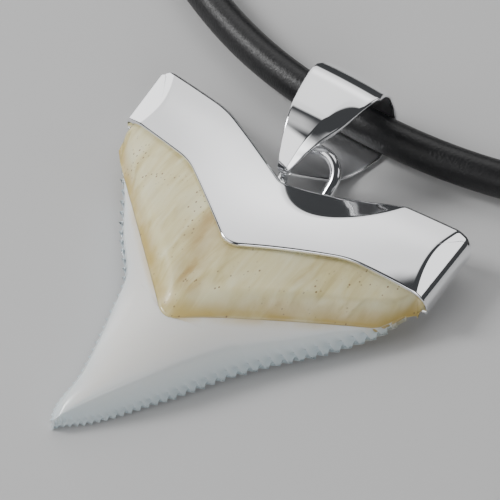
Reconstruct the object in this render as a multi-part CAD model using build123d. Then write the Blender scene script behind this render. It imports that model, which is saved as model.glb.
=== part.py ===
from build123d import *
from math import cos, pi, radians, sin, tan
import os

# A serrated shark tooth in a silver cap, on a folded silver bail and a round leather cord.
# Millimetres, +Z up. The pendant lies on its back on z = 0, with the bail towards +Y.
# Sizes are measured from the notch between the tooth's two root lobes, and the origin
# lies below it on the cap's back.
origin_drop = 5.0

# Silver sheet and the tooth's fit in it
sheet = 0.5
root_gap = 0.12
crown_gap = 0.05
cap_skin = sheet + root_gap

# Tooth
tooth_half_width = 19.0
root_overhang = 0.18
shoulder_drop = 3.4
crown_top = -shoulder_drop
crown_length = 31.3
crown_thickness = 6.2
root_thickness = 7.3
root_reach = 0.533
root_bottom = root_reach * crown_length - crown_top
tip_clearance = 0.03
serration_share = 0.4
serration_pitch_tip = 0.62
serration_pitch_root = 1.3

# Cap seen from the front
cap_half_width = tooth_half_width + root_overhang + cap_skin
cap_top = 7.5
cap_bottom = 10.1
edge_radius = 0.9
corner_margin = 0.1
corner_radius = edge_radius + corner_margin
end_radius = 2.6
end_level = 4.9
end_bevel = 40.0
wing_start = 8.0
wing_rise = 2.6
wing_turn = 20.0
scoop_radius = 20.9
scoop_tilt = 16.5
scoop_turn = -6.2
scoop_x = 4.5
scoop_drop = 0.65
scoop_height = 7.85

# Wire loop soldered to the cap's upper edge
wire = 1.2
loop_gap = 0.1
loop_tilt = 30.0
loop_half_width = 2.8
loop_x = 0.2
loop_top = 7.0
loop_foot = 2.5
loop_foot_y = 0.9
loop_head_in = 0.3
loop_head = 5.2
loop_round = 0.95
solder_bead = 1.9
solder_run = 1.4
solder_top = 7.0

# Leather cord and its clasp
cord = 4.0
cord_gap = 0.1
clasp_length = 22.0
clasp_diameter = 6.0
clasp_chamfer = 0.6
socket_depth = 4.0
socket_gap = 0.1

# Folded bail
bail_left = 1.8
bail_half_width = 4.25
bail_tip_y = 2.2
bail_length = 16.1
bail_height = 10.7

# Cap's upper edge, from the left end to the right: x and the corner's rounding as
# shares of the cap's half width, y as a share of its top.
end_corner = corner_radius / cap_half_width
CAP_UPPER = (
    # x, y, radius
    (-1.10, 1.09, end_corner),
    (-0.565, 0.785, 0.707),
    (0.0, 0.0, 0.04),
    (0.52, 0.80, 0.707),
    (0.96, 1.07, end_corner),
)

# Cap's lower edge over the root, from left to right, as shares of the cap's half
# width and of its bottom.
CAP_LOWER = (
    # x, y, radius
    (-1.2, 0.09, 0.0),
    (-0.5, -0.29, 0.455),
    (0.02, -1.02, 0.11),
    (0.56, -0.36, 0.455),
    (1.2, -0.06, 0.0),
)

# Where the root ends on the enamel: x and the corner's rounding as shares of the
# tooth's half width, and the share of the crown's length from the shoulders down.
ROOT_LOWER = (
    # x, along, radius
    (-1.25, -0.16, 0.0),
    (-0.97, 0.02, 0.08),
    (0.0, 0.54, 0.095),
    (0.88, 0.09, 0.2),
    (0.95, 0.0, 0.053),
    (1.25, -0.165, 0.0),
)

# Cross sections of the root: y as a share of the root's bottom, then the middle and
# half width as shares of the tooth's half width, and the side and middle heights
# above the back as shares of the root's thickness.
ROOT_SECTIONS = (
    # along, middle, half_width, side, peak
    (-0.47, -0.03, 1.09, 0.48, 0.74),
    (-0.15, -0.02, 1.08, 0.54, 0.92),
    (0.15, 0.0, 1.06, 0.38, 1.0),
    (0.50, 0.0, 0.96, 0.22, 0.98),
    (1.07, 0.0, 0.66, 0.17, 0.78),
)

# Cross sections of the crown, by share of its length from the shoulders to the tip.
CROWN_SECTIONS = (
    # along, middle, half_width, side, peak
    (-0.08, 0.0, 1.04, 0.32, 0.96),
    (0.21, 0.0, 0.84, 0.20, 1.0),
    (0.52, 0.01, 0.465, 0.08, 0.90),
    (0.75, -0.045, 0.285, 0.07, 0.68),
    (0.91, -0.115, 0.155, 0.05, 0.42),
    (1.05, -0.19, 0.05, 0.04, 0.10),
)

# The two cutting edges from the shoulders to the tip: the share of the length, and x
# as a share of the half width.
LEFT_EDGE = (
    # along, x
    (0.0, -1.0),
    (0.10, -0.87),
    (0.25, -0.69),
    (0.39, -0.49),
    (0.51, -0.42),
    (0.76, -0.29),
    (0.98, -0.205),
)
RIGHT_EDGE = (
    # along, x
    (-0.01, 0.96),
    (0.055, 0.94),
    (0.21, 0.77),
    (0.48, 0.432),
    (0.72, 0.20),
    (0.93, -0.045),
    (0.975, -0.125),
)
TIP = (1.0, -0.165)

# The bail from its side: y and the corner's rounding as shares of its length, z as a
# share of its height.
BAIL_SIDE = (
    # y, z, radius
    (0.0, 0.56, 0.045),
    (0.25, 0.925, 0.435),
    (0.85, 1.0, 0.28),
    (1.09, 0.0, 0.175),
    (0.44, 0.0, 0.5),
)

# The bail from the front: y as a share of its length, and its two edges as shares of
# its half width, measured from its middle line.
BAIL_FRONT = (
    # y, left, right
    (0.0, -0.14, 0.07),
    (0.30, -0.62, 0.56),
    (0.75, -1.0, 1.0),
    (1.12, -0.80, 0.78),
)

# The cord's route, from one end in the clasp round the loop to the other end.
cord_lie = cord / 2
bail_lie = sheet + cord_gap + cord / 2
clasp_lie = clasp_diameter / 2
CORD_ROUTE = (
    (-8.5, 160.6, clasp_lie),
    (-24.0, 160.6, clasp_lie),
    (-43.0, 152.5, cord_lie),
    (-59.5, 136.5, cord_lie),
    (-70.5, 114.5, cord_lie),
    (-74.0, 90.0, cord_lie),
    (-69.5, 66.5, cord_lie),
    (-59.0, 46.5, cord_lie),
    (-44.0, 31.5, cord_lie),
    (-27.5, 21.2, cord_lie),
    (-11.5, 15.7, bail_lie),
    (7.5, 15.6, bail_lie),
    (23.0, 20.5, cord_lie),
    (39.5, 30.5, cord_lie),
    (55.0, 46.0, cord_lie),
    (66.0, 66.0, cord_lie),
    (71.0, 90.0, cord_lie),
    (67.5, 114.5, cord_lie),
    (56.5, 136.0, cord_lie),
    (39.5, 152.5, cord_lie),
    (21.0, 160.6, clasp_lie),
    (5.5, 160.6, clasp_lie),
)


def section(y, middle, half, side, peak):
    """One upright slice: two low sides and a crowned front, over a level foot."""
    left_foot = (middle - half, y, -root_thickness)
    right_foot = (middle + half, y, -root_thickness)
    right_side = (middle + half, y, side)
    left_side = (middle - half, y, side)
    crown = ThreePointArc(right_side, (middle, y, peak), left_side)
    lower = Polyline(left_side, left_foot, right_foot, right_side)
    return Face(Wire([*lower.edges(), crown.edge()]))


def root_form(grow):
    """The root's front as one body, grown by a skin."""
    slices = []
    for along, middle, half, side, peak in ROOT_SECTIONS:
        x = middle * tooth_half_width
        reach = half * tooth_half_width + grow
        lift = cap_skin + grow
        low = side * root_thickness + lift
        high = peak * root_thickness + lift
        slices.append(section(-along * root_bottom, x, reach, low, high))
    return loft(slices)


def crown_form():
    """The enamel's body, a little wider than its cutting edges."""
    slices = []
    for along, middle, half, side, peak in CROWN_SECTIONS:
        x = middle * tooth_half_width
        lift = cap_skin + (tip_clearance - cap_skin) * along
        low = side * crown_thickness + lift
        high = peak * crown_thickness + lift
        y = crown_top - along * crown_length
        slices.append(section(y, x, half * tooth_half_width, low, high))
    return loft(slices)


def lobe_backs(skin):
    """All that lies in front of the back, which is flat in the middle and rises
    towards the two lobes' upper corners."""
    reach = 2 * cap_half_width
    lift = wing_rise / (cap_half_width - wing_start) * reach
    backs = []
    for side in (-1, 1):
        profile = Polyline(
            (-side * reach, skin),
            (0, skin),
            (side * reach, lift + skin),
            (side * reach, 2 * root_thickness),
            (-side * reach, 2 * root_thickness),
            close=True,
        )
        wing = extrude(Plane.XZ * make_face(profile), 2 * crown_length, both=True)
        backs.append(Pos(side * wing_start, 0, 0) * Rot(0, 0, side * wing_turn) * wing)
    return backs[0] & backs[1]


def tooth_back():
    """All that lies in front of the tooth's back, which runs down to the tip."""
    tip = crown_top - crown_length
    profile = Polyline(
        (2 * cap_top, cap_skin),
        (-cap_bottom, cap_skin),
        (tip, tip_clearance),
        (2 * tip, tip_clearance),
        (2 * tip, 2 * root_thickness),
        (2 * cap_top, 2 * root_thickness),
        close=True,
    )
    return extrude(Plane.YZ * make_face(profile), 2 * tooth_half_width, both=True)


def rounded_line(table, width, height):
    """A run of lines with rounded corners, from a table of shares."""
    points = [(x * width, y * height) for x, y, _ in table]
    radii = [radius * width for _, _, radius in table[1:-1]]
    return FilletPolyline(*points, radius=radii)


def upright(face):
    """The prism over a flat outline."""
    return extrude(face, 2 * root_thickness, dir=(0, 0, 1))


def lobe_ends(skin):
    """All that lies inside the two lobes' ends, which are rounded from the wall up to a
    bevel in front."""
    bevel = radians(end_bevel)
    inner = end_radius - skin
    centre = end_level - end_radius * cos(bevel)
    rim = (inner * sin(bevel) - end_radius, centre + inner * cos(bevel))
    middle = (pi / 2 - bevel) / 2
    halfway = (inner * cos(middle) - end_radius, centre + inner * sin(middle))
    run = 4 * cap_half_width
    top = (rim[0] - run * cos(bevel), rim[1] + run * sin(bevel))
    wall = Polyline((top[0], top[1]), (top[0], -run), (-skin, -run), (-skin, centre))
    arc = ThreePointArc((-skin, centre), halfway, rim)
    profile = Face(Wire([*wall.edges(), arc.edge(), Line(rim, top).edge()]))
    ends = []
    for side, (x, y, _) in ((-1, CAP_UPPER[0]), (1, CAP_UPPER[-1])):
        corner = Vector(x * cap_half_width, y * cap_top, 0)
        foot = Vector(side * cap_half_width, -cap_bottom / 2, 0)
        along = (corner - foot).normalized()
        outward = Vector(along.Y, -along.X, 0) * side
        end = Plane(origin=foot, x_dir=outward, z_dir=outward.cross(Vector(0, 0, 1)))
        ends.append(extrude(end * profile, 2 * crown_length, both=True))
    return ends[0] & ends[1]


def body_outline():
    """The cap's outline, with its sides run on down past the root."""
    foot = -cap_bottom / 2
    table = [(-1, foot / cap_top, 0.0), *CAP_UPPER, (1, foot / cap_top, 0.0)]
    upper = rounded_line(table, cap_half_width, cap_top)
    sides = [(cap_half_width, -root_bottom), (-cap_half_width, -root_bottom)]
    lower = Polyline(upper @ 1, *sides, upper @ 0)
    return Face(Wire([*upper.edges(), *lower.edges()]))


def above(line):
    """All that lies above an edge line."""
    far = 3 * cap_top
    closing = Polyline(line @ 1, ((line @ 1).X, far), ((line @ 0).X, far), line @ 0)
    return Face(Wire([*line.edges(), *closing.edges()]))


def root_lower():
    """The root's lower edge on the enamel."""
    return Pos(0, crown_top) * rounded_line(ROOT_LOWER, tooth_half_width, -crown_length)


def below_root(drop):
    """All that lies below the root's lower edge."""
    line = Pos(0, -drop) * root_lower()
    far = crown_top - 2 * crown_length
    closing = Polyline(line @ 1, ((line @ 1).X, far), ((line @ 0).X, far), line @ 0)
    return Face(Wire([*line.edges(), *closing.edges()]))


def cutting_edge(table):
    """One cutting edge as a smooth line from the shoulder to the tip."""
    points = [(x * tooth_half_width, crown_top - a * crown_length) for a, x in table]
    tip = (TIP[1] * tooth_half_width, crown_top - TIP[0] * crown_length)
    return Spline(*points, tip)


def scallops(line, side):
    """Rounded serrations along a cutting edge, finer towards the tip."""
    marks = [0.0]
    while marks[-1] < 1.0:
        coarse = 1 - marks[-1] ** 2
        pitch = serration_pitch_tip + (serration_pitch_root - serration_pitch_tip) * coarse
        marks.append(marks[-1] + pitch / line.length)
    marks = [mark / marks[-1] for mark in marks]
    arcs = []
    for start, end in zip(marks, marks[1:]):
        chord = (line @ end) - (line @ start)
        outward = Vector(-chord.Y, chord.X) * side
        bulge = (line @ start + line @ end) * 0.5 + outward * serration_share
        arcs.append(ThreePointArc(line @ start, bulge, line @ end).edge())
    return arcs


def crown_outline():
    """The crown's serrated outline, closed across the top under the root."""
    left = cutting_edge(LEFT_EDGE)
    right = cutting_edge(RIGHT_EDGE)
    edges = [*scallops(left, -1), *scallops(right, 1)]
    top = Polyline(left @ 0, (0, crown_top), right @ 0)
    return Face(Wire([*edges, *top.edges()]))


def root_space(skin):
    """The cap's inside, one skin in from its outer faces."""
    plan = offset(body_outline(), -skin)
    body = root_form(cap_skin - skin) & upright(plan) & lobe_backs(skin) & lobe_ends(skin)
    return body - notch_scoop(skin)


def tooth_root():
    body = root_space(cap_skin) & tooth_back()
    return body & upright(above(root_lower()))


def tooth_crown():
    plan = crown_outline() & below_root(crown_gap)
    return crown_form() & upright(plan) & tooth_back() & lobe_backs(tip_clearance)


def notch_scoop(skin):
    """The shallow scoop down to the notch's right flank, as deep as a skin allows."""
    turn = radians(scoop_turn)
    lean = radians(scoop_tilt)
    along = Vector(cos(turn), sin(turn), 0)
    outward = Vector(-along.Y, along.X, 0)
    normal = Vector(0, 0, cos(lean)) + outward * sin(lean)
    downhill = outward * cos(lean) - Vector(0, 0, sin(lean))
    start = Vector(scoop_x, -scoop_drop, scoop_height)
    axis = Plane(origin=start + normal * scoop_radius, x_dir=along, z_dir=downhill)
    return axis * Cylinder(scoop_radius + skin, 2 * cap_half_width)


def front_rim(body):
    """The edges round the lobes at the front."""
    lobe_end = cap_half_width - end_radius
    found = []
    for edge in body.edges():
        middle = edge.position_at(0.5)
        outer = middle.Y > 0 or abs(middle.X) > lobe_end
        level = abs(edge.tangent_at(0.5).Z) < sin(pi / 4)
        if outer and level and middle.Z > root_thickness / 2:
            found.append(edge)
    return found


def loop_path():
    """The wire's middle line: a round loop on two legs, of which the one at the notch
    passes below the bail's tip."""
    rise = tan(radians(loop_tilt))
    left = loop_x - loop_half_width
    right = loop_x + loop_half_width
    bend = loop_round * loop_half_width
    top = loop_foot + loop_top * rise
    points = [
        (-loop_head_in, loop_head_in, loop_head),
        (left, bail_tip_y + wire, loop_foot + wire),
        (left, loop_top, top),
        (right, loop_top, top),
        (right, loop_foot_y, loop_foot + loop_foot_y * rise),
    ]
    return FilletPolyline(*points, radius=[wire, bend, bend])


def loop_tube(path, radius):
    start = Plane(origin=path @ 0, z_dir=path % 0)
    return sweep(start * Circle(radius), path=path)


def wire_loop():
    """The round wire, the solder at its right foot and the run of solder up the notch."""
    path = loop_path()
    foot = path @ 1
    head = path @ 0
    bead = Pos(foot) * Sphere(solder_bead / 2)
    run = Pos(head) * extrude(Circle(solder_run / 2), solder_top - head.Z)
    knob = Pos(head.X, head.Y, solder_top) * Sphere(solder_run / 2)
    return [loop_tube(path, wire / 2), bead, run, knob]


def cap():
    """The silver cap over the root, with the loop soldered to its upper edge."""
    lower = rounded_line(CAP_LOWER, cap_half_width, cap_bottom)
    plan = body_outline() & above(lower)
    body = root_form(cap_skin) & upright(plan) & lobe_backs(0.0)
    body = (fillet(front_rim(body), edge_radius) & lobe_ends(0.0)) - notch_scoop(0.0)
    for addition in wire_loop():
        body = body + addition
    return body - root_space(sheet)


def bail():
    """A tapered strip of sheet folded round the cord and the wire loop, and joined at
    the tip. Its lower leaf is cut back where the loop passes."""
    points = [(bail_tip_y + y * bail_length, z * bail_height) for y, z, _ in BAIL_SIDE]
    radii = [radius * bail_length for _, _, radius in BAIL_SIDE]
    side = FilletPolyline(*points, radius=radii, close=True)
    ring = make_face(side) - offset(make_face(side), -sheet)
    facing = Plane(origin=(0, 0, 0), x_dir=(0, 1, 0), z_dir=(1, 0, 0))
    band = extrude(facing * ring, 2 * bail_half_width, both=True)
    rows = [(bail_tip_y + y * bail_length, left, right) for y, left, right in BAIL_FRONT]
    left = [(share * bail_half_width - bail_left, y) for y, share, _ in rows]
    right = [(share * bail_half_width - bail_left, y) for y, _, share in rows]
    edges = [
        ThreePointArc(*right[:3]),
        Line(right[2], right[3]),
        Line(right[3], left[3]),
        Line(left[3], left[2]),
        ThreePointArc(*reversed(left[:3])),
        Line(left[0], right[0]),
    ]
    plan = Face(Wire([line.edge() for line in edges]))
    return (band & upright(plan)) - loop_tube(loop_path(), wire / 2 + loop_gap)


def leather_cord():
    """The cord, as straight runs joined by arcs as large as the runs allow."""
    points = [Vector(*point) for point in CORD_ROUTE]
    radii = []
    for before, corner, after in zip(points, points[1:], points[2:]):
        turn = (corner - before).get_angle(after - corner)
        run = min((corner - before).length, (after - corner).length)
        radii.append(0.45 * run / tan(radians(turn / 2)))
    print("cord radii", [round(radius, 1) for radius in radii])
    path = FilletPolyline(*points, radius=radii)
    start = Plane(origin=path @ 0, z_dir=path % 0)
    tube = sweep(start * Circle(cord / 2), path=path)
    share = tube.volume / (path.length * pi * cord**2 / 4)
    print("cord length", round(path.length, 1), "share of section by length", round(share, 4))
    print("whole loop", round(path.length + clasp_length - 2 * socket_depth, 1))
    return tube


def clasp():
    """A plain barrel with a socket for each end of the cord."""
    first = Vector(*CORD_ROUTE[0])
    last = Vector(*CORD_ROUTE[-1])
    middle = (first + last) * 0.5
    barrel = Cylinder(clasp_diameter / 2, clasp_length)
    barrel = chamfer(barrel.edges(), clasp_chamfer)
    for end in (1, -1):
        bore = Cylinder(cord / 2 + socket_gap, 2 * socket_depth)
        barrel = barrel - Pos(0, 0, end * clasp_length / 2) * bore
    return Pos(middle) * Rot(0, 90, 0) * barrel


os.makedirs("parts", exist_ok=True)
for name, piece in {
    "tooth_crown": tooth_crown(),
    "tooth_root": tooth_root(),
    "cap": cap(),
    "bail": bail(),
    "cord": leather_cord(),
    "clasp": clasp(),
}.items():
    export_step(Pos(0, origin_drop, 0) * piece, f"parts/{name}.step")
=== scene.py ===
import math

import bmesh
import bpy
import numpy as np
from mathutils import Matrix, Vector, noise


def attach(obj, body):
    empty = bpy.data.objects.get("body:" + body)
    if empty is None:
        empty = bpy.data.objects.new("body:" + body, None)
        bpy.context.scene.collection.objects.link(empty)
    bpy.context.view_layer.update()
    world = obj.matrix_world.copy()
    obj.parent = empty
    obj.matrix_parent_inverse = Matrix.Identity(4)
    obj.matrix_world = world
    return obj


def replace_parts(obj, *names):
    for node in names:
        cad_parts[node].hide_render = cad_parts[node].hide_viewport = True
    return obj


# A serrated shark tooth in a polished silver cap, on a folded bail and a leather cord.
# Forms are worked out in millimetres from the notch between the tooth's two root lobes,
# and place() carries them into the row frame.
MM = 0.001
ORIGIN_DROP = 5.0

# Mesh points closer than this, in metres, become one. TINY stands in for a length of
# nothing where something is divided by it.
JOIN_DISTANCE = 2e-7
TINY = 1e-9

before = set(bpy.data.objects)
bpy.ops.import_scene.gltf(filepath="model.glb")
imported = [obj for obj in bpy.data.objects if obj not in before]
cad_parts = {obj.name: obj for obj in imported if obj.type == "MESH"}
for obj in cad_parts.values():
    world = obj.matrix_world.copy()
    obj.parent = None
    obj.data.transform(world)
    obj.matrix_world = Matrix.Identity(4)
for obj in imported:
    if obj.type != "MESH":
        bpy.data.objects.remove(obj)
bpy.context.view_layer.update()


def place(points):
    """Points in millimetres from the notch, as metres in the row frame."""
    moved = np.asarray(points, float) + np.array([0.0, ORIGIN_DROP, 0.0])
    return moved * MM


# Camera

# The view's angles off straight down and to the side, its distance in millimetres, and
# the picture's scale, its size and the notch's place in it, in pixels.
LOOK_TILT = math.radians(40.0)
LOOK_YAW = math.radians(36.5)
LOOK_DISTANCE = 350.0
PIXELS_PER_MM = 9.5
PICTURE_SIZE = 500.0
NOTCH_PIXEL = (282.0, 232.4)
SENSOR = 36.0
CLIP_START = 0.01


def camera():
    """The photograph's camera, aimed at the notch, which lies off the picture's centre."""
    away = Vector((-math.sin(LOOK_YAW), math.cos(LOOK_YAW), 0))
    forward = away * math.sin(LOOK_TILT) - Vector((0, 0, math.cos(LOOK_TILT)))
    right = Vector((math.cos(LOOK_YAW), math.sin(LOOK_YAW), 0))
    up = right.cross(forward)
    data = bpy.data.cameras.new("camera")
    obj = bpy.data.objects.new("camera", data)
    bpy.context.scene.collection.objects.link(obj)
    spot = Vector(place(-np.array(forward) * LOOK_DISTANCE))
    turn = Matrix((right, up, -forward)).transposed().to_4x4()
    obj.matrix_world = Matrix.Translation(spot) @ turn
    data.sensor_width = SENSOR
    data.lens = PIXELS_PER_MM * LOOK_DISTANCE * SENSOR / PICTURE_SIZE
    data.shift_x = (PICTURE_SIZE / 2 - NOTCH_PIXEL[0]) / PICTURE_SIZE
    data.shift_y = (NOTCH_PIXEL[1] - PICTURE_SIZE / 2) / PICTURE_SIZE
    data.clip_start = CLIP_START
    bpy.context.scene.camera = obj


# Meshes and lines

def mesh_piece(name, verts, faces, material, marks=None):
    """A smooth mesh from points in millimetres, with per-point values for materials."""
    mesh = bpy.data.meshes.new(name)
    mesh.from_pydata([tuple(v) for v in place(verts)], [], faces)
    for mark, values in (marks or {}).items():
        layer = mesh.attributes.new(mark, "FLOAT", "POINT")
        layer.data.foreach_set("value", np.asarray(values, float))
    shape = bmesh.new()
    shape.from_mesh(mesh)
    bmesh.ops.remove_doubles(shape, verts=shape.verts, dist=JOIN_DISTANCE)
    bmesh.ops.recalc_face_normals(shape, faces=shape.faces)
    shape.to_mesh(mesh)
    shape.free()
    mesh.polygons.foreach_set("use_smooth", [True] * len(mesh.polygons))
    mesh.materials.append(material)
    mesh.update()
    obj = bpy.data.objects.new(name, mesh)
    bpy.context.scene.collection.objects.link(obj)
    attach(obj, "root")
    return obj


def grid_faces(rows, cols, start=0, closed=False, joined=False):
    """Quads between rows of points, round to the first row or to each row's first point."""
    faces = []
    for i in range(rows if closed else rows - 1):
        a = start + i * cols
        b = start + (i + 1) % rows * cols
        for j in range(cols - 1):
            faces.append((a + j, b + j, b + j + 1, a + j + 1))
        if joined:
            faces.append((a + cols - 1, b + cols - 1, b, a))
    return faces


def unit(vector):
    return vector / np.linalg.norm(vector)


def resample(points, count):
    """A polyline as evenly spaced points."""
    points = np.asarray(points, float)
    steps = np.linalg.norm(np.diff(points, axis=0), axis=1)
    along = np.concatenate([[0], np.cumsum(steps)])
    wanted = np.linspace(0, along[-1], count)
    return np.stack([np.interp(wanted, along, column) for column in points.T], 1)


def rounded_line(corners, steps=12):
    """Straight lines joined by arcs, from rows of a point and its corner's radius."""
    rows = np.asarray(corners, float)
    points = [rows[0, :-1]]
    for before, row, after in zip(rows, rows[1:], rows[2:]):
        corner, radius = row[:-1], row[-1]
        back = unit(before[:-1] - corner)
        ahead = unit(after[:-1] - corner)
        half = math.acos(np.clip(back @ ahead, -1, 1)) / 2
        centre = corner + unit(back + ahead) * radius / math.sin(half)
        first = corner + back * radius / math.tan(half) - centre
        last = corner + ahead * radius / math.tan(half) - centre
        other = unit(last - first * (first @ last) / (first @ first)) * radius
        for turn in np.linspace(0, math.pi - 2 * half, steps + 1):
            points.append(centre + first * math.cos(turn) + other * math.sin(turn))
    points.append(rows[-1, :-1])
    return np.array(points)


def curve_through(rows, at):
    """Smooth values of each column of a table at places along its first column."""
    rows = np.asarray(rows, float)
    nodes, values = rows[:, 0], rows[:, 1:]
    slopes = np.gradient(values, nodes, axis=0)
    at = np.clip(np.asarray(at, float), nodes[0], nodes[-1])
    k = np.clip(np.searchsorted(nodes, at, side="right") - 1, 0, len(nodes) - 2)
    width = nodes[k + 1] - nodes[k]
    t = (at - nodes[k]) / width
    out = []
    for value, slope in zip(values.T, slopes.T):
        start = (2 * t**3 - 3 * t**2 + 1) * value[k] + (t**3 - 2 * t**2 + t) * slope[k] * width
        end = (3 * t**2 - 2 * t**3) * value[k + 1] + (t**3 - t**2) * slope[k + 1] * width
        out.append(start + end)
    return out


def soft_step(t):
    """0 to 1, smoothly, as t goes from 0 to 1."""
    t = np.clip(t, 0, 1)
    return t * t * (3 - 2 * t)


def soft_min(a, b, width):
    """The lower of two heights, with a rounded crease between them."""
    mix = np.clip(0.5 + 0.5 * (a - b) / width, 0, 1)
    return a + (b - a) * mix - width * mix * (1 - mix)


def inward(points):
    """Unit normals on the right of a polyline."""
    step = np.gradient(np.asarray(points, float)[:, :2], axis=0)
    step /= np.linalg.norm(step, axis=1)[:, None] + TINY
    return np.stack([step[:, 1], -step[:, 0]], 1)


# Sizes shared with the solids, in millimetres

SHEET = 0.5
ROOT_GAP = 0.12
SKIN = SHEET + ROOT_GAP
TOOTH_HALF = 19.0
CROWN_TOP = -3.4
CROWN_LENGTH = 31.3
CROWN_THICK = 6.2
ROOT_THICK = 7.3
ROOT_LONG = 20.08
CAP_LOW_Y = -10.1
TIP_LIFT = 0.03
LEAST_RISE = 0.05

# The back's rise past a line on each side, which is turned towards the upper corner.
WING_START = 8.0
WING_SLOPE = 2.6 / 11.8
WING_TURN = math.radians(20.0)

# The right end's radius, by which the rings of both ends are spaced, and how far they turn.
END_RADIUS = 2.6
END_ROUND = math.radians(52.0)

# The scoop's cylinder: its radius, lean and turn, and a point on its underside.
SCOOP_RADIUS = 20.9
SCOOP_TILT = math.radians(16.5)
SCOOP_TURN = math.radians(-6.2)
SCOOP_START = (4.5, -0.65, 7.85)

# Slices of the root and the crown, as shares of their length, width and thickness.
ROOT_SLICES = (
    # along, middle, half_width, side, peak
    (-0.47, -0.03, 1.09, 0.48, 0.74),
    (-0.15, -0.02, 1.08, 0.54, 0.92),
    (0.15, 0.0, 1.06, 0.38, 1.0),
    (0.50, 0.0, 0.96, 0.22, 0.98),
    (1.07, 0.0, 0.66, 0.17, 0.78),
)
CROWN_SLICES = (
    # along, middle, half_width, side, peak
    (-0.08, 0.0, 1.04, 0.32, 0.96),
    (0.21, 0.0, 0.84, 0.20, 1.0),
    (0.52, 0.01, 0.465, 0.08, 0.90),
    (0.75, -0.045, 0.285, 0.07, 0.68),
    (0.91, -0.115, 0.155, 0.05, 0.42),
    (1.05, -0.19, 0.05, 0.04, 0.10),
)

# The two lobes' end lines, from a foot to the upper corner, and which side they are on.
# Then the radius of each end's round, the height of its middle, and its bevel's slope.
LOBE_ENDS = (
    # side, foot, corner, radius, middle, slope
    (-1, (-19.8, -5.05), (-21.78, 8.18), 0.6, 4.05, math.radians(29.0)),
    (1, (19.8, -5.05), (19.01, 8.03), END_RADIUS, 2.91, math.radians(40.0)),
)


def arched(x, middle, half, low, high):
    """The height of an arc over x that stands on two sides."""
    rise = np.maximum(high - low, LEAST_RISE)
    radius = (half**2 + rise**2) / (2 * rise)
    off = np.clip(np.abs(x - middle), 0, half)
    return high - radius + np.sqrt(radius**2 - off**2)


def root_height(x, y, grow=0.0):
    """The root's front, or that of a skin over it."""
    middle, half, side, peak = curve_through(ROOT_SLICES, -y / ROOT_LONG)
    low = side * ROOT_THICK + SKIN + grow
    high = peak * ROOT_THICK + SKIN + grow
    return arched(x, middle * TOOTH_HALF, half * TOOTH_HALF + grow, low, high)


def crown_height(x, y):
    """The enamel's front."""
    along = (CROWN_TOP - y) / CROWN_LENGTH
    middle, half, side, peak = curve_through(CROWN_SLICES, along)
    lift = SKIN + (TIP_LIFT - SKIN) * along
    low = side * CROWN_THICK + lift
    high = peak * CROWN_THICK + lift
    return arched(x, middle * TOOTH_HALF, half * TOOTH_HALF, low, high)


def wing_height(x, y):
    """How far the back rises towards each lobe's upper corner."""
    past = (np.abs(x) - WING_START) * math.cos(WING_TURN) + y * math.sin(WING_TURN)
    return WING_SLOPE * np.maximum(past, 0)


def tooth_back(x, y, wing_lift):
    """The tooth's back: level under the cap, rising to the lobes and down to the tip."""
    down = np.clip((CAP_LOW_Y - y) / (CAP_LOW_Y - CROWN_TOP + CROWN_LENGTH), 0, 1)
    level = SKIN + (TIP_LIFT - SKIN) * down
    return np.maximum(wing_height(x, y) + wing_lift, level)


def past_end(x, y, side, foot, corner):
    """Distance outside a lobe's end line."""
    along = unit(np.array(corner) - np.array(foot))
    return side * ((x - foot[0]) * along[1] - (y - foot[1]) * along[0])


def end_height(x, y, skin):
    """The two ends: rounded from the wall up to a bevel in front, one skin in."""
    heights = []
    for *end, radius, middle, slope in LOBE_ENDS:
        inner = radius - skin
        off = past_end(x, y, *end) + radius
        start = inner * math.sin(slope)
        arc = middle + np.sqrt(np.maximum(inner**2 - off**2, 0))
        bevel = middle + inner * math.cos(slope) + (start - off) * math.tan(slope)
        heights.append(np.where((off > start) & (inner > 0), arc, bevel))
    return np.minimum(*heights)


def scoop_height(x, y):
    """The scooped flank on the notch's right: the underside of a leaning cylinder."""
    outward = np.array([-math.sin(SCOOP_TURN), math.cos(SCOOP_TURN), 0.0])
    up = np.array([0.0, 0.0, 1.0])
    normal = outward * math.sin(SCOOP_TILT) + up * math.cos(SCOOP_TILT)
    axis = outward * math.cos(SCOOP_TILT) - up * math.sin(SCOOP_TILT)
    centre = np.array(SCOOP_START) + normal * SCOOP_RADIUS
    base = np.stack([x - centre[0], y - centre[1], np.full_like(x, -centre[2])], -1)
    base = base - (base @ axis)[..., None] * axis
    rise = up - axis[2] * axis
    # The heights at which a line straight up meets the cylinder solve a quadratic.
    a = rise @ rise
    b = base @ rise
    c = (base**2).sum(-1) - SCOOP_RADIUS**2
    inside = b * b - a * c
    far = 10 * ROOT_THICK
    return np.where(inside > 0, (-b - np.sqrt(np.maximum(inside, 0))) / a, far)


# Cap

# Rounds along the flanks and the low edge, how far the hollow goes in from that edge, how
# soft the scoop's ridge and the bevels are, and how far a front stays above its back.
EDGE_ROUND = 0.55
LOW_ROUND = 0.2
LOW_FOLD = 1.5
RIDGE_SOFT = 0.10
BEVEL_SOFT = 0.18
THINNEST = 0.03

# The outline from the left corner to the right one: the rim above, and the low edge.
CAP_RIM = (
    # x, y, radius
    (-20.56, 0.02, 0.0),
    (-21.78, 8.18, 1.0),
    (-11.19, 5.89, 14.0),
    (0.0, 0.0, 0.79),
    (10.3, 6.0, 14.0),
    (19.01, 8.03, 1.0),
    (19.59, -1.61, 0.0),
)
CAP_LOW = (
    # x, y, radius
    (-20.56, 0.02, 0.0),
    (-9.9, -2.93, 9.0),
    (0.4, -10.3, 2.2),
    (11.1, -3.64, 9.0),
    (19.59, -1.61, 0.0),
)

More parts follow.
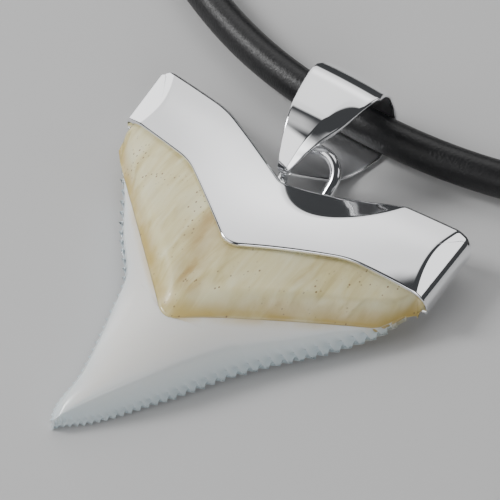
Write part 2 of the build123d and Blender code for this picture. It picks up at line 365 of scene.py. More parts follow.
# The mesh's rows and rings. Then the most of the way in that a fold and a round may take.
CAP_ROWS = 620
CAP_RINGS = 44
CAP_BACK_RINGS = 7
ROUND_RINGS = 12
LOW_RINGS = 5
WALL_SHARES = (0.04, 0.3, 0.6, 0.9, 1.0)
FOLD_SHARE = 0.6
INSET_SHARE = 0.35


def cap_height(xy):
    """The cap's front, with the scoop's ridge and the two bevelled ends."""
    x, y = xy[:, 0], xy[:, 1]
    front = soft_min(root_height(x, y, SKIN), scoop_height(x, y), RIDGE_SOFT)
    return soft_min(front, end_height(x, y, 0.0), BEVEL_SOFT)


def cap_back(xy, lift=0.0):
    """The cap's back, which stays below its front."""
    return np.minimum(wing_height(xy[:, 0], xy[:, 1]) + lift, cap_height(xy) - THINNEST)


def cap_inside(xy):
    """The inner face of the front, which stays above the back's."""
    return np.maximum(cap_height(xy) - SHEET, cap_back(xy, SHEET))


def at_end(rim, fade):
    """1 along the two lobes' ends, fading to 0 along the flanks."""
    past = [past_end(rim[:, 0], rim[:, 1], *end[:3]) for end in LOBE_ENDS]
    return soft_step(1 + np.maximum(*past) / fade)


def rounded_rim(rim, low, height, edge):
    """Rings that turn from the wall into the front, by the flank's or the end's round."""
    end = at_end(rim, edge)
    limit = np.linalg.norm(rim - low, axis=1) * INSET_SHARE
    rings = []
    for turn in np.linspace(0, math.pi / 2, ROUND_RINGS)[1:]:
        end_turn = turn * END_ROUND / (math.pi / 2)
        flank = edge * (1 - math.cos(turn))
        far = END_RADIUS * (1 - math.cos(end_turn))
        inset = np.minimum(flank + (far - flank) * end, limit)
        xy = rim + inward(rim) * inset[:, None]
        drop = (1 - end) * edge * (1 - math.sin(turn))
        rings.append((xy, height(xy) - drop))
    return rings


def cap_shell(material):
    """The front, the walls and the back, with the sheet's thickness along the low edge."""
    rim = resample(rounded_line(CAP_RIM), CAP_ROWS)
    low = resample(rounded_line(CAP_LOW), CAP_ROWS)
    rings = []
    for share in np.linspace(0, 1, CAP_BACK_RINGS):
        xy = low + (rim - low) * share
        rings.append((xy, cap_back(xy)))
    back = cap_back(rim)
    wall = cap_height(rim) - EDGE_ROUND * (1 - at_end(rim, EDGE_ROUND)) - back
    for share in WALL_SHARES:
        rings.append((rim, back + wall * share))
    rings.extend(rounded_rim(rim, low, cap_height, EDGE_ROUND))
    start = rings[-1][0]
    span = np.maximum(np.linalg.norm(start - low, axis=1)[:, None], TINY)
    stop = low + (start - low) * np.minimum(1, LOW_ROUND / span)
    for share in np.linspace(0, 1, CAP_RINGS)[1:]:
        xy = start + (stop - start) * share
        rings.append((xy, cap_height(xy)))
    for turn in np.linspace(0, math.pi / 2, LOW_RINGS)[1:]:
        xy = stop + (low - stop) * math.sin(turn)
        rings.append((xy, cap_height(xy) - LOW_ROUND * (1 - math.cos(turn))))
    deep = low + (start - low) * np.minimum(FOLD_SHARE, LOW_FOLD / span)
    rings.append((low, cap_inside(low)))
    rings.append((deep, cap_inside(deep)))
    rings.append((deep, cap_back(deep, SHEET)))
    rings.append((low, cap_back(low, SHEET)))
    grid = np.stack([np.column_stack(ring) for ring in rings], 1)
    faces = grid_faces(CAP_ROWS, grid.shape[1], joined=True)
    return mesh_piece("cap_shell", grid.reshape(-1, 3), faces, material)


# Wire loop and solder

# The wire's width, and its mesh. The first side is any way that no rod starts along.
WIRE = 1.2
WIRE_SIDES = 28
FIRST_SIDE = (0.3, 0.2, 1.0)
BEND_STEPS = 16
LOOP_POINTS = 140
RUN_POINTS = 40
BEAD_POINTS = 30

# The wire's middle line, from its left foot in the notch over to its right one.
LOOP_ROUTE = (
    # x, y, z, radius
    (-0.3, 0.3, 5.2, 0.0),
    (-2.6, 3.4, 3.7, 1.2),
    (-2.6, 7.0, 6.54, 2.66),
    (3.0, 7.0, 6.54, 2.66),
    (3.0, 0.9, 3.02, 0.0),
)

# The run of solder up the notch, with a knob on top: height and radius.
SOLDER_RUN = (
    # z, radius
    (4.4, 0.70),
    (5.2, 0.62),
    (5.8, 0.52),
    (6.2, 0.55),
    (6.6, 0.68),
    (7.0, 0.70),
    (7.35, 0.60),
    (7.6, 0.36),
    (7.69, 0.08),
)

# The bead at the loop's right foot: distance along the wire from its end, and radius.
SOLDER_BEAD = (
    # along, radius
    (-0.9, 0.30),
    (-0.6, 0.78),
    (-0.2, 0.93),
    (0.3, 0.90),
    (0.8, 0.74),
    (1.3, 0.64),
    (1.7, 0.59),
)


def tube(name, points, radius, material):
    """A round silver rod along a line of points, with closed ends."""
    points = np.asarray(points, float)
    ahead = np.gradient(points, axis=0)
    normal = np.cross(ahead[0], FIRST_SIDE)
    verts = []
    for point, step, size in zip(points, ahead, np.broadcast_to(radius, len(points))):
        direction = unit(step)
        normal = unit(normal - (normal @ direction) * direction)
        other = np.cross(direction, normal)
        for k in range(WIRE_SIDES + 1):
            turn = 2 * math.pi * (k % WIRE_SIDES) / WIRE_SIDES
            verts.append(point + size * (normal * math.cos(turn) + other * math.sin(turn)))
    faces = grid_faces(len(points), WIRE_SIDES + 1)
    last = (len(points) - 1) * (WIRE_SIDES + 1)
    faces.append(tuple(range(WIRE_SIDES)))
    faces.append(tuple(range(last + WIRE_SIDES - 1, last - 1, -1)))
    return mesh_piece(name, np.array(verts), faces, material)


def wire_loop(material):
    """The round wire that the bail hangs on."""
    line = resample(rounded_line(LOOP_ROUTE, BEND_STEPS), LOOP_POINTS)
    return tube("wire_loop", line, WIRE / 2, material)


def solder_run(material):
    """The solder that climbs the notch at the loop's left foot."""
    heights = np.linspace(SOLDER_RUN[0][0], SOLDER_RUN[-1][0], RUN_POINTS)
    radii = curve_through(SOLDER_RUN, heights)[0]
    x, y = LOOP_ROUTE[0][:2]
    return tube("solder_run", [(x, y, z) for z in heights], radii, material)


def solder_bead(material):
    """The solder round the loop's right foot."""
    foot = np.array(LOOP_ROUTE[-1][:3])
    ahead = unit(np.array(LOOP_ROUTE[-2][:3]) - foot)
    steps = np.linspace(SOLDER_BEAD[0][0], SOLDER_BEAD[-1][0], BEAD_POINTS)
    radii = curve_through(SOLDER_BEAD, steps)[0]
    return tube("solder_bead", [foot + ahead * step for step in steps], radii, material)


# Tooth

# The root's outline inside the cap, and its lower edge on the enamel.
ROOT_RIM = (
    # x, y, radius
    (-19.49, -2.90, 0.0),
    (-20.74, 7.2, 0.5),
    (-11.4, 5.3, 13.4),
    (0.0, -0.71, 1.4),
    (10.53, 5.42, 13.4),
    (18.44, 7.2, 0.4),
    (19.02, -2.52, 0.0),
)
ROOT_LOW = (
    # x, y, radius
    (-19.49, -2.90, 0.0),
    (-18.43, -4.03, 1.52),
    (0.0, -20.3, 1.8),
    (16.72, -6.22, 3.8),
    (18.05, -3.4, 1.0),
    (19.02, -2.52, 0.0),
)

# The root's round, its step above the enamel, and how far in it rises to its own height.
# Then the ripples: their height, scale and layer of noise, and how far in they fade up.
ROOT_EDGE = 0.7
ROOT_STEP = 0.06
ROOT_SWELL = 3.4
ROOT_RIPPLE = 0.16
RIPPLE_SCALE = 0.22
RIPPLE_LAYER = 3.0
RIPPLE_FADE = 2.0
ROOT_ROWS = 440
ROOT_RINGS = 60
ROOT_BACK_RINGS = 5
SPLINE_FINENESS = 4
CROWN_GAP = 0.05

# Painted shade below the cap's point: darker amber down the root's middle, from the cap to the
# brown band.
PAINTED_SHADE_LINE = ((-2.8, -8.1), (-0.4, -15.7))

# The two cutting edges, as shares of the crown's length and of the tooth's half width.
LEFT_EDGE = (
    # along, x
    (0.0, -1.0),
    (0.10, -0.87),
    (0.25, -0.69),
    (0.39, -0.49),
    (0.51, -0.42),
    (0.76, -0.29),
    (0.98, -0.205),
    (1.0, -0.165),
)
RIGHT_EDGE = (
    # along, x
    (-0.01, 0.96),
    (0.055, 0.94),
    (0.21, 0.77),
    (0.48, 0.432),
    (0.72, 0.20),
    (0.93, -0.045),
    (0.975, -0.125),
    (1.0, -0.165),
)

# The share of both edges that faces the root. Then where the enamel begins and ends along
# the root's low edge, as shares of the tooth's half width.
TURN_SHARE = 0.43
ENAMEL_LEFT = -0.995
ENAMEL_RIGHT = 0.963

# The lobes' spacing at both ends of an edge. As shares of it, how far a lobe stands out
# and rises, how deep the groove beside it is, and how far in both reach. The two forms
# are powers, of which a low one makes broad lobes and a high one narrow grooves.
PITCH_ROOT = 1.3
PITCH_TIP = 0.62
LOBE_SHARE = 0.60
LOBE_FORM = 0.55
LOBE_REACH = 0.7
BEAD_SHARE = 0.26
GROOVE_SHARE = 0.7
GROOVE_FORM = 3
GROOVE_REACH = 0.8

# The thin cutting edge: its thickness, and how fast the enamel thickens behind it. From
# a share of the way in, all that belongs to the edge fades out towards the ridge.
BLADE = 0.25
BLADE_SLOPE = 1.0
BLADE_RUN = 2.2
BLADE_SOFT = 1.0
RIDGE_SHARE = 0.5
EDGE_LIFT = 0.12

# The mesh's rows and columns, and the power that crowds the columns at the edge.
CROWN_ROWS = 820
CROWN_COLS = 30
COLS_CROWDING = 1.9
RIDGE_POINTS = 60

# The ridge from the root's point down to the tip.
RIDGE = (
    # x, y
    (0.4, -24.0),
    (-0.6, -28.5),
    (-1.9, -32.0),
    (-3.1, -34.4),
)


def spline(points, count):
    """A smooth line through points, evenly spaced."""
    points = np.asarray(points, float)
    along = np.concatenate([[0], np.cumsum(np.linalg.norm(np.diff(points, axis=0), axis=1))])
    wanted = np.linspace(0, along[-1], count * SPLINE_FINENESS)
    return resample(np.stack(curve_through(np.column_stack([along, points]), wanted), 1), count)


def root_front(xy, low):
    """The root's front, which rises softly from the enamel and ripples a little."""
    x, y = xy[:, 0], xy[:, 1]
    off = np.linalg.norm(xy - low, axis=1)
    enamel = crown_height(x, y) + ROOT_STEP
    swell = np.maximum(root_height(x, y) - enamel, 0) * soft_step(off / ROOT_SWELL)
    ripple = np.array([noise.noise(Vector((a, b, RIPPLE_LAYER))) for a, b in xy * RIPPLE_SCALE])
    front = enamel + swell + ROOT_RIPPLE * ripple * soft_step(off / RIPPLE_FADE)
    front = np.minimum(front, scoop_height(x, y) - SKIN)
    return np.minimum(front, end_height(x, y, SKIN))


def root_back(xy, low):
    """The root's back, which stays below its front."""
    return np.minimum(tooth_back(xy[:, 0], xy[:, 1], SKIN), root_front(xy, low) - THINNEST)


def from_painted_shade(xy):
    """Distance from the middle line of the painted shade below the cap."""
    start, stop = np.array(PAINTED_SHADE_LINE)
    step = stop - start
    along = np.clip((xy - start) @ step / (step @ step), 0, 1)
    return np.linalg.norm(xy - start - along[:, None] * step, axis=1)


def root_body(material):
    """The root's front, walls and back, with distances from the enamel and the painted shade."""
    rim = resample(rounded_line(ROOT_RIM), ROOT_ROWS)
    low = resample(rounded_line(ROOT_LOW), ROOT_ROWS)
    rings = []
    for share in np.linspace(0, 1, ROOT_BACK_RINGS):
        xy = low + (rim - low) * share
        rings.append((xy, root_back(xy, low)))
    back = root_back(rim, low)
    wall = root_front(rim, low) - ROOT_EDGE * (1 - at_end(rim, 2 * ROOT_EDGE)) - back
    for share in WALL_SHARES:
        rings.append((rim, back + np.maximum(wall, 0) * share))
    rings.extend(rounded_rim(rim, low, lambda xy: root_front(xy, low), ROOT_EDGE))
    start = rings[-1][0]
    for share in np.linspace(0, 1, ROOT_RINGS)[1:]:
        xy = start + (low - start) * share
        rings.append((xy, root_front(xy, low)))
    grid = np.stack([np.column_stack(ring) for ring in rings], 1)
    off = np.stack([np.linalg.norm(xy - low, axis=1) for xy, _ in rings], 1)
    faces = grid_faces(ROOT_ROWS, grid.shape[1], joined=True)
    verts = grid.reshape(-1, 3)
    marks = {"from_enamel": off.ravel(), "from_painted_shade": from_painted_shade(verts[:, :2])}
    return mesh_piece("root_body", verts, faces, material, marks)


def serrated(table, side):
    """A cutting edge's line, the way out of it, 0 in a groove to 1 on a lobe, and pitch."""
    smooth = [(x * TOOTH_HALF, CROWN_TOP - a * CROWN_LENGTH) for a, x in table]
    line = spline(smooth, CROWN_ROWS)
    length = np.linalg.norm(np.diff(line, axis=0), axis=1).sum()
    share = np.linspace(0, 1, CROWN_ROWS)
    pitch = PITCH_TIP + (PITCH_ROOT - PITCH_TIP) * (1 - share**2)
    steps = 0.5 * (1 / pitch[1:] + 1 / pitch[:-1]) * length / (CROWN_ROWS - 1)
    phase = np.concatenate([[0], np.cumsum(steps)])
    phase *= round(phase[-1]) / phase[-1]
    lobe = np.abs(np.sin(math.pi * phase))
    return line, -inward(line) * side, lobe, pitch


def crown_half(table, side, chevron, ridge):
    """Rows of points from one cutting edge in to the root's edge and the ridge."""
    line, out, lobe, pitch = serrated(table, side)
    turn_at = int(CROWN_ROWS * TURN_SHARE)
    inner = np.vstack([resample(chevron, turn_at), resample(ridge, CROWN_ROWS - turn_at + 1)[1:]])
    reach = np.linalg.norm(inner - line, axis=1)
    bulge = LOBE_SHARE * pitch * lobe**LOBE_FORM
    near_root = np.arange(CROWN_ROWS) < turn_at
    front = []
    back = []
    marks = []
    for share in np.linspace(0, 1, CROWN_COLS) ** COLS_CROWDING:
        off = reach * share
        edge = 1 - soft_step((share - RIDGE_SHARE) / (1 - RIDGE_SHARE))
        fade = edge * np.exp(-((off / (LOBE_REACH * pitch)) ** 2))
        xy = line + (inner - line) * share + out * (bulge * fade)[:, None]
        x, y = xy[:, 0], xy[:, 1]
        base = tooth_back(x, y, TIP_LIFT)
        full = np.maximum(crown_height(x, y) - base, BLADE)
        limit = BLADE + BLADE_SLOPE * off * (1 + (off / BLADE_RUN) ** 2)
        height = full + (soft_min(full, limit, BLADE_SOFT) - full) * edge
        near = edge * np.exp(-((off / (GROOVE_REACH * pitch)) ** 2))
        groove = GROOVE_SHARE * (1 - lobe) ** GROOVE_FORM
        height = height + pitch * near * (BEAD_SHARE * lobe - groove)
        front.append((xy, base + np.maximum(height, EDGE_LIFT)))
        back.append((xy, base + EDGE_LIFT * edge * np.exp(-off / BLADE)))
        marks.append(np.column_stack([off, np.where(near_root, reach - off, ROOT_LONG)]))
    grid = np.stack([np.column_stack(ring) for ring in [*back[::-1], *front]], 1)
    return grid, np.stack([*marks[::-1], *marks], 1)


def crown_body(material):
    """The enamel in two halves, which meet along the ridge."""
    low = rounded_line([(x, y - CROWN_GAP, radius) for x, y, radius in ROOT_LOW])
    apex = int(np.argmin(low[:, 1]))
    start = next(i for i, p in enumerate(low) if p[0] > ENAMEL_LEFT * TOOTH_HALF)
    stop = max(i for i, p in enumerate(low) if p[0] < ENAMEL_RIGHT * TOOTH_HALF)
    ridge = spline([low[apex], *RIDGE], RIDGE_POINTS)
    left = crown_half(LEFT_EDGE, 1, low[start:apex + 1], ridge)
    right = crown_half(RIGHT_EDGE, -1, low[apex:stop + 1][::-1], ridge)
    verts = []
    faces = []
    values = []
    for grid, marks in (left, right):
        faces.extend(grid_faces(*grid.shape[:2], len(verts)))
        verts.extend(grid.reshape(-1, 3))
        values.extend(marks.reshape(-1, 2))
    values = np.array(values)
    marks = {"from_edge": values[:, 0], "from_root": values[:, 1]}
    return mesh_piece("crown_body", np.array(verts), faces, material, marks)


# Bail

# The strip's outer face from the side, from the front tip round the cord to the rear one,
# and its two edges from the front, as x and y.
BAIL_SIDE = (
    # y, z, radius
    (2.2, 5.99, 0.72),
    (6.225, 9.90, 7.0),
    (15.885, 10.7, 4.51),
    (19.75, 0.0, 2.82),
    (9.284, 0.0, 8.05),
)
BAIL_RIGHT = ((-1.50, 2.2), (0.58, 7.03), (2.45, 14.275), (1.515, 20.23))
BAIL_LEFT = ((-2.395, 2.2), (-4.435, 7.03), (-6.05, 14.275), (-5.2, 20.23))

# Half the greatest width, how far the face is domed across, and the slope of the lip
# along its right side, which starts at a share of the half width and fades out towards
# the cord. Below a height the strip is flat across.
BAIL_HALF = 4.25
BAIL_DOME = 0.12
BAIL_LIP = 0.75
LIP_START = 0.45
LIP_END_Y = 12.0
LIP_FADE = 6.0
BAIL_FLAT = 5.4
FLAT_FADE = 2.5
RIM_ROUND = 0.12
BAIL_ROWS = 340
BAIL_COLS = 41
FOLD_STEPS = 24


def edge_at(edge, y):
    """x at y on the arc through an edge's first three points, and straight beyond."""
    (x1, y1), (x2, y2), (x3, y3), (x4, y4) = edge
    if y > y3:
        return x3 + (x4 - x3) * (y - y3) / (y4 - y3)
    d = 2 * (x1 * (y2 - y3) + x2 * (y3 - y1) + x3 * (y1 - y2))
    s1, s2, s3 = x1**2 + y1**2, x2**2 + y2**2, x3**2 + y3**2
    centre_x = (s1 * (y2 - y3) + s2 * (y3 - y1) + s3 * (y1 - y2)) / d
    centre_y = (s1 * (x3 - x2) + s2 * (x1 - x3) + s3 * (x2 - x1)) / d
    radius = math.hypot(x1 - centre_x, y1 - centre_y)
    off = max(y, y1) - centre_y
    return centre_x + math.copysign(math.sqrt(radius**2 - off**2), x2 - centre_x)


def bail_sink(share, half, upper, y):
    """How far the strip's face lies below its middle, and its rounded rim's depth."""
    lip = max(0.0, (share - LIP_START) / (1 - LIP_START)) * (1 - LIP_START) * half
    front = float(soft_step((LIP_END_Y - y) / LIP_FADE))
    sink = upper * (half / BAIL_HALF * BAIL_DOME * share**2 + BAIL_LIP * lip * front)
    into_rim = max(0.0, abs(share) * half - (half - RIM_ROUND)) / RIM_ROUND
    return sink, RIM_ROUND * (1 - math.sqrt(max(0.0, 1 - into_rim**2)))


def bail_row(out, into):
    """One slice across the strip: its outer face and back along the inner one."""
    left = edge_at(BAIL_LEFT, out[0])
    right = edge_at(BAIL_RIGHT, out[0])
    half = (right - left) / 2
    middle = (left + right) / 2
    normal = unit(into - out)
    upper = float(soft_step((out[1] - BAIL_FLAT) / FLAT_FADE))
    row = []
    for share in np.linspace(-1, 1, BAIL_COLS):
        sink, rim = bail_sink(share, half, upper, out[0])
        row.append((middle + share * half, *(out + normal * (sink + rim))))
    for share in np.linspace(1, -1, BAIL_COLS):
        sink, rim = bail_sink(share, half, upper, out[0])
        row.append((middle + share * half, *(into + normal * (sink - rim))))
    return [*row, row[0]]


def bail_sheet(material):
    """The folded strip, round the cord and back to its tip."""
    first, last = np.array(BAIL_SIDE[0]), np.array(BAIL_SIDE[-1])
    seam = (*(first + last)[:2] / 2, 0.0)
    outer = resample(rounded_line([seam, *BAIL_SIDE, seam], FOLD_STEPS), BAIL_ROWS)[:-1]
    ring = np.vstack([outer[-1:], outer, outer[:1]])
    inner = outer + inward(ring)[1:-1] * SHEET
    grid = np.array([bail_row(out, into) for out, into in zip(outer, inner)])
    faces = grid_faces(*grid.shape[:2], closed=True)
    inside = np.arange(grid.shape[1]) > BAIL_COLS
    marks = {"inside": np.tile(inside, len(grid))}
    return mesh_piece("bail_sheet", grid.reshape(-1, 3), faces, material, marks)


# Cord and clasp

# The cord's width in millimetres, its curve's order, and how fine its steps are along and
# round it.
CORD = 4.0
CORD_ORDER = 3
CORD_STEPS = 16
CORD_ROUNDNESS = 12

# The solid's route, in metres in the row frame, with the heights that it lies at.
CORD_LIE = 0.0020
BAIL_LIE = 0.0026
CLASP_LIE = 0.0030
CORD_ROUTE = (
    # x, y, z
    (-0.0085, 0.1656, CLASP_LIE),
    (-0.0240, 0.1656, CLASP_LIE),
    (-0.0430, 0.1575, CORD_LIE),
    (-0.0595, 0.1415, CORD_LIE),
    (-0.0705, 0.1195, CORD_LIE),
    (-0.0740, 0.0950, CORD_LIE),
    (-0.0695, 0.0715, CORD_LIE),
    (-0.0590, 0.0515, CORD_LIE),
    (-0.0440, 0.0365, CORD_LIE),
    (-0.0275, 0.0262, CORD_LIE),
    (-0.0115, 0.0207, BAIL_LIE),
    (0.0075, 0.0206, BAIL_LIE),
    (0.0230, 0.0255, CORD_LIE),
    (0.0395, 0.0355, CORD_LIE),
    (0.0550, 0.0510, CORD_LIE),
    (0.0660, 0.0710, CORD_LIE),
    (0.0710, 0.0950, CORD_LIE),
    (0.0675, 0.1195, CORD_LIE),
    (0.0565, 0.1410, CORD_LIE),
    (0.0395, 0.1575, CORD_LIE),
    (0.0210, 0.1656, CLASP_LIE),
    (0.0055, 0.1656, CLASP_LIE),
)


def leather_cord(material):
    """The cord, swept along its route from one end to the other inside the clasp."""
    data = bpy.data.curves.new("leather_cord", "CURVE")
    data.dimensions = "3D"
    line = data.splines.new("NURBS")
    line.points.add(len(CORD_ROUTE) - 1)
    for point, (x, y, z) in zip(line.points, CORD_ROUTE):
        point.co = (x, y, z, 1.0)
    line.order_u = CORD_ORDER
    line.use_endpoint_u = True
    line.resolution_u = CORD_STEPS
    data.bevel_depth = CORD / 2 * MM
    data.bevel_resolution = CORD_ROUNDNESS
    data.use_fill_caps = True
    data.materials.append(material)
    obj = bpy.data.objects.new("leather_cord", data)
    bpy.context.scene.collection.objects.link(obj)
    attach(obj, "root")
    return obj


# The clasp's centre, its mesh, and its profile from one end to the other.
CLASP_CENTRE = (-1.5, 160.6, 3.0)
CLASP_SIDES = 64
CLASP_HOLD = 0.05
CLASP_PROFILE = (
    # x, radius
    (-11.0, 2.15),
    (-11.0, 2.6),
    (-10.85, 2.85),
    (-10.5, 3.0),
    (-8.2, 3.0),
    (-8.0, 2.8),
    (-7.8, 2.8),
    (-7.6, 2.95),
    (-0.5, 2.95),
    (-0.35, 2.75),
    (-0.15, 2.75),
    (0.0, 2.95),
    (7.6, 2.95),
    (7.8, 2.8),
    (8.0, 2.8),
    (8.2, 3.0),
    (10.5, 3.0),
    (10.85, 2.85),
    (11.0, 2.6),
    (11.0, 2.15),
)


def held_corners(line, margin):
    """A polyline with a point near both ends of each stretch, which keeps flats flat."""
    line = np.asarray(line, float)
    points = []
    for start, stop in zip(line, line[1:]):
        length = np.linalg.norm(stop - start)
        step = (stop - start) / length * min(margin, length / 3)
        points.extend([start, start + step, stop - step])
    return np.array([*points, line[-1]])


def clasp_barrel(material):
    """A turned barrel with a collar at each end and a fine line round its middle."""
    profile = held_corners(CLASP_PROFILE, CLASP_HOLD)
    verts = []
    for x, radius in profile:
        for k in range(CLASP_SIDES + 1):
            turn = 2 * math.pi * (k % CLASP_SIDES) / CLASP_SIDES
            spot = (x, radius * math.cos(turn), radius * math.sin(turn))
            verts.append(np.array(CLASP_CENTRE) + spot)
    faces = grid_faces(len(profile), CLASP_SIDES + 1)
    return mesh_piece("clasp_barrel", np.array(verts), faces, material)


# Materials

# A mix node's sockets for colours, by number, because their names repeat.
MIX_AMOUNT = 0
MIX_BASE = 6
MIX_COLOUR = 7
MIX_RESULT = 2


class Shader:
    """A material's nodes, with short ways to add and link them."""

    def __init__(self, name, colour, roughness):
        self.material = bpy.data.materials.new(name)
        self.material.use_nodes = True
        self.nodes = self.material.node_tree.nodes
        self.main = self.nodes["Principled BSDF"]
        self.main.inputs["Base Color"].default_value = (*colour, 1)
        self.main.inputs["Roughness"].default_value = roughness

    def link(self, source, target):
        self.material.node_tree.links.new(source, target)

    def set(self, **values):
        for name, value in values.items():
            self.main.inputs[name.replace("_", " ").title()].default_value = value

    def spot(self, stretch):
        """Places on the object, stretched along each axis."""
        coords = self.nodes.new("ShaderNodeTexCoord")
        mapping = self.nodes.new("ShaderNodeMapping")
        mapping.inputs["Scale"].default_value = stretch
        self.link(coords.outputs["Object"], mapping.inputs["Vector"])
        return mapping.outputs[0]

    def noise(self, spot, detail=4.0, distortion=0.0):
        node = self.nodes.new("ShaderNodeTexNoise")
        node.inputs["Scale"].default_value = 1.0
        node.inputs["Detail"].default_value = detail
        node.inputs["Distortion"].default_value = distortion
        self.link(spot, node.inputs["Vector"])
        return node.outputs[0]

    def cells(self, spot):
        node = self.nodes.new("ShaderNodeTexVoronoi")
        node.inputs["Scale"].default_value = 1.0
        self.link(spot, node.inputs["Vector"])
        return node.outputs["Distance"]

    def mark(self, name):
        """A value kept on the mesh's points."""
        node = self.nodes.new("ShaderNodeAttribute")
        node.attribute_name = name
        return node.outputs["Fac"]

    def span(self, value, low, high, start=0.0, end=1.0):
        """A value's place between two limits, as a number from start to end."""
        node = self.nodes.new("ShaderNodeMapRange")
        node.interpolation_type = "SMOOTHSTEP"
        node.inputs["From Min"].default_value = low
        node.inputs["From Max"].default_value = high
        node.inputs["To Min"].default_value = start
        node.inputs["To Max"].default_value = end
        self.link(value, node.inputs["Value"])
        return node.outputs[0]

    def times(self, first, second):
        node = self.nodes.new("ShaderNodeMath")
        node.operation = "MULTIPLY"
        self.link(first, node.inputs[0])
        self.link(second, node.inputs[1])
        return node.outputs[0]

    def tones(self, value, stops):
        node = self.nodes.new("ShaderNodeValToRGB")
        while len(node.color_ramp.elements) < len(stops):
            node.color_ramp.elements.new(0.5)
        for element, (at, colour) in zip(node.color_ramp.elements, stops):
            element.position = at
            element.color = (*colour, 1.0)
        self.link(value, node.inputs["Fac"])
        return node.outputs[0]

    def over(self, base, colour, amount):
        """A colour laid over another by an amount."""
        node = self.nodes.new("ShaderNodeMix")
        node.data_type = "RGBA"
        node.inputs[MIX_COLOUR].default_value = (*colour, 1)
        self.link(base, node.inputs[MIX_BASE])
        self.link(amount, node.inputs[MIX_AMOUNT])
        return node.outputs[MIX_RESULT]

    def bump(self, height, strength, depth):
        node = self.nodes.new("ShaderNodeBump")
        node.inputs["Strength"].default_value = strength
        node.inputs["Distance"].default_value = depth
        self.link(height, node.inputs["Height"])
        self.link(node.outputs["Normal"], self.main.inputs["Normal"])

    def colour(self, source):
        self.link(source, self.main.inputs["Base Color"])


def silver():
    """Polished silver with very faint waves, brushed on the inside of the bail."""
    look = Shader("silver", (0.925, 0.93, 0.945), 0.05)
    look.set(metallic=1.0)
    roughness = look.span(look.mark("inside"), 0.0, 1.0, 0.05, 0.34)
    look.link(roughness, look.main.inputs["Roughness"])
    waves = look.noise(look.spot((260.0, 110.0, 260.0)), 2.0)
    look.bump(waves, 0.05, 0.0004)
    return look.material


def enamel():
    """Glossy translucent white, bluish at the edges and warm next to the root."""
    look = Shader("enamel", (0.86, 0.86, 0.83), 0.22)
    off = look.span(look.mark("from_edge"), 0.0, 5.5)
    tone = look.tones(off, (
        (0.0, (0.70, 0.80, 0.84)),
        (0.22, (0.82, 0.88, 0.89)),
        (0.55, (0.90, 0.91, 0.89)),
        (1.0, (0.92, 0.905, 0.86)),
    ))
    warm = look.span(look.mark("from_root"), 0.0, 3.0, 0.75, 0.0)
    patch = look.span(look.noise(look.spot((260.0, 160.0, 260.0))), 0.30, 0.62)
    tone = look.over(tone, (0.80, 0.66, 0.38), look.times(warm, patch))
    look.colour(tone)
    look.set(subsurface_weight=0.3, subsurface_radius=(1.0, 0.9, 0.8), subsurface_scale=0.0015)
    look.set(coat_weight=0.5, coat_roughness=0.14)
    return look.material


def root_bone():
    """Cream bone with streaks, pores, painted shade below the cap and a brown band at the enamel.
    """
    look = Shader("root_bone", (0.80, 0.72, 0.50), 0.30)
    streaks = look.noise(look.spot((900.0, 150.0, 500.0)), 6.0, 0.6)
    tone = look.tones(streaks, (
        (0.30, (0.64, 0.54, 0.25)),
        (0.48, (0.79, 0.71, 0.38)),
        (0.70, (0.88, 0.83, 0.54)),
    ))
    clouds = look.noise(look.spot((150.0, 110.0, 150.0)), 3.0)
    tone = look.over(tone, (0.86, 0.82, 0.56), look.span(clouds, 0.50, 0.68, 0.0, 0.7))
    tone = look.over(tone, (0.56, 0.44, 0.18), look.span(clouds, 0.46, 0.30, 0.0, 0.7))
    band = look.span(look.mark("from_enamel"), 0.3, 2.6, 0.9, 0.0)
    blotch = look.noise(look.spot((190.0, 190.0, 190.0)), 3.0)
    amber = look.times(band, look.span(blotch, 0.25, 0.6))
    tone = look.over(tone, (0.58, 0.42, 0.13), amber)
    # Painted shade below the cap's point: darker amber along a line down the root, broken up by
    # the streaks.
    painted_shade = look.span(look.mark("from_painted_shade"), 0.0, 2.2, 0.9, 0.0)
    painted_shade = look.times(painted_shade, look.span(streaks, 0.30, 0.60, 1.0, 0.25))
    tone = look.over(tone, (0.50, 0.33, 0.12), painted_shade)
    dots = look.span(look.cells(look.spot((2100.0, 1500.0, 2100.0))), 0.12, 0.24, 1.0, 0.0)
    places = look.span(look.noise(look.spot((330.0, 330.0, 330.0))), 0.50, 0.60)
    pores = look.times(dots, places)
    look.colour(look.over(tone, (0.30, 0.19, 0.09), pores))
    look.bump(streaks, 0.25, 0.0002)
    look.set(subsurface_weight=0.2, subsurface_radius=(1.0, 0.8, 0.5), subsurface_scale=0.0008)
    look.set(coat_weight=0.25, coat_roughness=0.15)
    return look.material


def leather():
    """Black leather, finely wrinkled across the cord."""
    look = Shader("leather", (0.005, 0.005, 0.006), 0.40)
    wrinkles = look.noise(look.spot((5200.0, 2200.0, 2200.0)), 3.0, 0.4)
    look.bump(wrinkles, 0.45, 0.00014)
    return look.material


def pale_floor():
    return Shader("pale_floor", (0.62, 0.62, 0.62), 0.8).material


# Surroundings

WORLD_COLOUR = (0.055, 0.057, 0.06)
FLOOR_SIZE = 1.6
FLOOR_Y = 0.05
CARD_MIDDLE = 0.5

# Soft white cards: where each one is seen from the pendant, how far off, its two sizes
# in metres, its roll in degrees, the share of it that fades, and its brightness.
CARDS = (
    # name, towards, distance, size, roll, fade, brightness
    ("back_card", (-0.44, 0.572, 0.71), 0.75, (1.36, 0.66), -32.5, 0.12, 1.25),
    ("bright_card", (-0.36, 0.60, 0.72), 0.70, (0.80, 0.42), -32.5, 0.5, 2.1),
    ("low_card", (-0.90, 0.42, 0.12), 0.75, (0.42, 0.34), 0.0, 0.1, 2.1),
    ("right_card", (0.70, 0.52, 0.45), 0.75, (0.34, 0.26), 0.0, 0.12, 1.7),
    ("front_card", (-0.50, -0.66, 0.56), 0.75, (0.70, 0.72), 0.0, 0.2, 1.7),
    ("fill_card", (0.62, -0.66, 0.42), 0.75, (0.66, 0.60), 0.0, 0.3, 2.8),
    ("top_card", (-0.46, -0.10, 0.88), 0.80, (0.46, 0.36), 0.0, 0.4, 0.75),
)

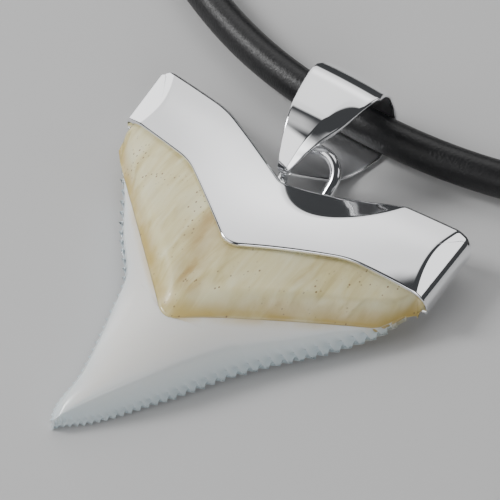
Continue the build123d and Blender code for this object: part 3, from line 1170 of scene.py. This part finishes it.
# The small strong light: where it is seen, how far off, its size and power in watts.
KEY_TOWARDS = (-0.72, -0.30, 0.62)
KEY_DISTANCE = 0.8
KEY_SIZE = 0.24
KEY_POWER = 5.0


def floor():
    """A plain pale ground."""
    bpy.ops.mesh.primitive_plane_add(size=FLOOR_SIZE, location=(0, FLOOR_Y, 0))
    obj = bpy.context.active_object
    obj.name = "floor"
    obj.data.materials.append(pale_floor())


def border_fade(nodes, links, place_across, fade):
    """0 at both borders of a card, rising to 1 within a share of its width."""
    fold = nodes.new("ShaderNodeMath")
    fold.operation = "PINGPONG"
    fold.inputs[1].default_value = CARD_MIDDLE
    soft = nodes.new("ShaderNodeMapRange")
    soft.interpolation_type = "SMOOTHSTEP"
    soft.inputs["From Max"].default_value = fade
    links.new(place_across, fold.inputs[0])
    links.new(fold.outputs[0], soft.inputs["Value"])
    return soft.outputs[0]


def card_face(name, fade, brightness):
    """A white glow that turns clear at the card's borders."""
    look = bpy.data.materials.new(name)
    look.use_nodes = True
    nodes, links = look.node_tree.nodes, look.node_tree.links
    nodes.remove(nodes["Principled BSDF"])
    glow = nodes.new("ShaderNodeEmission")
    glow.inputs["Strength"].default_value = brightness
    clear = nodes.new("ShaderNodeBsdfTransparent")
    mix = nodes.new("ShaderNodeMixShader")
    spot = nodes.new("ShaderNodeTexCoord")
    axes = nodes.new("ShaderNodeSeparateXYZ")
    both = nodes.new("ShaderNodeMath")
    both.operation = "MULTIPLY"
    links.new(spot.outputs["Generated"], axes.inputs[0])
    for axis in (0, 1):
        links.new(border_fade(nodes, links, axes.outputs[axis], fade), both.inputs[axis])
    links.new(both.outputs[0], mix.inputs[0])
    links.new(clear.outputs[0], mix.inputs[1])
    links.new(glow.outputs[0], mix.inputs[2])
    links.new(mix.outputs[0], nodes["Material Output"].inputs["Surface"])
    return look


def aimed(away, distance, roll=0.0):
    """The place of something that faces the pendant from a direction."""
    away = Vector(away).normalized()
    turn = (-away).to_track_quat("-Z", "Y").to_matrix().to_4x4()
    return Matrix.Translation(away * distance) @ turn @ Matrix.Rotation(roll, 4, "Z")


def card(name, towards, distance, size, roll, fade, brightness):
    """A card that lights the part and shows in the silver, but not to the camera."""
    mesh = bpy.data.meshes.new(name)
    x, y = size[0] / 2, size[1] / 2
    mesh.from_pydata([(-x, -y, 0), (x, -y, 0), (x, y, 0), (-x, y, 0)], [], [(0, 1, 2, 3)])
    mesh.materials.append(card_face(name, fade, brightness))
    obj = bpy.data.objects.new(name, mesh)
    bpy.context.scene.collection.objects.link(obj)
    obj.matrix_world = aimed(towards, distance, math.radians(roll))
    obj.visible_camera = False


def key_light():
    data = bpy.data.lights.new("key_light", "AREA")
    data.size = KEY_SIZE
    data.energy = KEY_POWER
    obj = bpy.data.objects.new("key_light", data)
    bpy.context.scene.collection.objects.link(obj)
    obj.matrix_world = aimed(KEY_TOWARDS, KEY_DISTANCE)


def lights():
    """A dim world, the cards and the small strong light."""
    world = bpy.data.worlds.new("world")
    bpy.context.scene.world = world
    world.use_nodes = True
    world.node_tree.nodes["Background"].inputs["Color"].default_value = (*WORLD_COLOUR, 1)
    for row in CARDS:
        card(*row)
    key_light()


camera()
polish = silver()
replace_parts(leather_cord(leather()), "cord")
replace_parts(clasp_barrel(polish), "clasp")
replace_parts(crown_body(enamel()), "tooth_crown")
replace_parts(root_body(root_bone()), "tooth_root")
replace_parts(cap_shell(polish), "cap")
wire_loop(polish)
solder_run(polish)
solder_bead(polish)
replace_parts(bail_sheet(polish), "bail")
floor()
lights()
